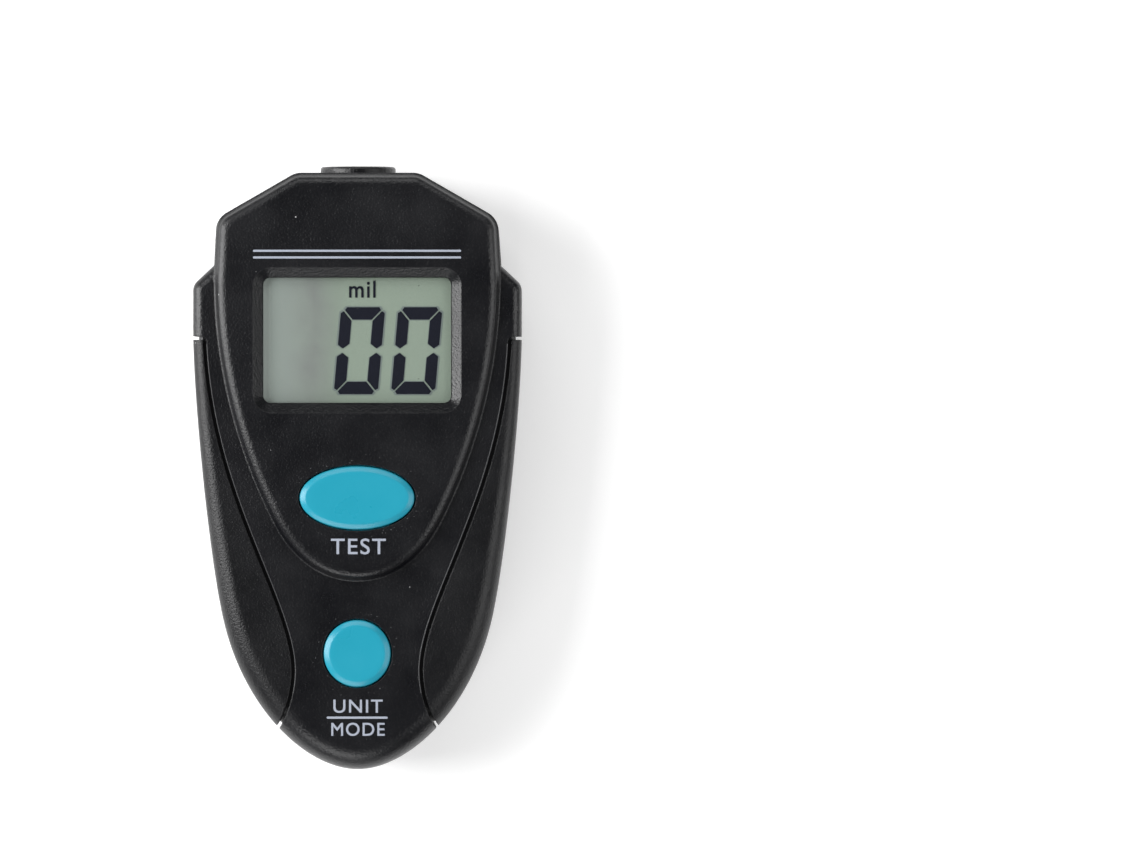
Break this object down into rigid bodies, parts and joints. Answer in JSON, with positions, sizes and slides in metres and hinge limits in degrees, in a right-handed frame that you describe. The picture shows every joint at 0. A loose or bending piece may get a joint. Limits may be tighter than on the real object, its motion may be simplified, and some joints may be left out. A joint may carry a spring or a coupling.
{
  "type": "coating thickness gauge",
  "caption": "Palm-sized coating thickness gauge: black waisted case with side grips, raised shield panel, display, oval and round keys and a sprung probe at the head.",
  "frame": {"origin": "middle of the back, under the middle of the overall box", "axes": "+X to the right seen from the front, +Y towards the probe, +Z out of the front face"},
  "size_m": [0.062, 0.1138, 0.028],
  "materials": {
    "black_plastic": "fine moulded grain",
    "grip_rubber": "matt",
    "key_plastic": "satin",
    "clear_window": "clear",
    "display_glass": "satin",
    "contact_rubber": "matt",
    "board_laminate": "satin",
    "chip_plastic": "matt",
    "stem_plastic": "satin",
    "bright_steel": "plated",
    "copper_wire": "enamelled",
    "lead_jacket": "satin",
    "cell_jacket": "gloss"
  },
  "bodies": {
    "case": {"front_shell": "black_plastic", "rear_shell": "black_plastic", "left_grip": "grip_rubber", "right_grip": "grip_rubber", "display_window": "clear_window", "lcd_glass": "display_glass", "contact_strips": "contact_rubber", "main_board": "board_laminate", "controller_chip": "chip_plastic", "crystal_can": "bright_steel", "test_switch": "chip_plastic", "mode_switch": "chip_plastic", "probe_spring": "bright_steel", "probe_leads": "lead_jacket", "left_cell": "cell_jacket", "right_cell": "cell_jacket", "bridge_contact": "bright_steel", "terminal_contacts": "bright_steel", "case_screws": "bright_steel", "board_screws": "bright_steel"},
    "test_key": {"test_key": "key_plastic", "test_stem": "stem_plastic"},
    "mode_key": {"mode_key": "key_plastic", "mode_stem": "stem_plastic"},
    "probe": {"probe_sleeve": "black_plastic", "probe_bobbin": "stem_plastic", "probe_winding": "copper_wire", "probe_core": "bright_steel"},
    "battery_door": {"battery_door": "black_plastic"}
  },
  "joints": [
    {"name": "test_press", "type": "slide", "parent": "case", "child": "test_key", "axis": [0, 0, -1], "range_m": [0, 0.0005], "stiffness_N_per_m": 3000},
    {"name": "mode_press", "type": "slide", "parent": "case", "child": "mode_key", "axis": [0, 0, -1], "range_m": [0, 0.0005], "stiffness_N_per_m": 3000},
    {"name": "probe_press", "type": "slide", "parent": "case", "child": "probe", "axis": [0, -1, 0], "range_m": [0, 0.0012], "stiffness_N_per_m": 1500, "deforming": ["probe_spring", "probe_leads"]},
    {"name": "battery_door_hinge", "type": "hinge", "parent": "case", "child": "battery_door", "pos_m": [0, 0.02105, 0.00145], "axis": [1, 0, 0], "range_deg": [0, 80]}
  ]
}
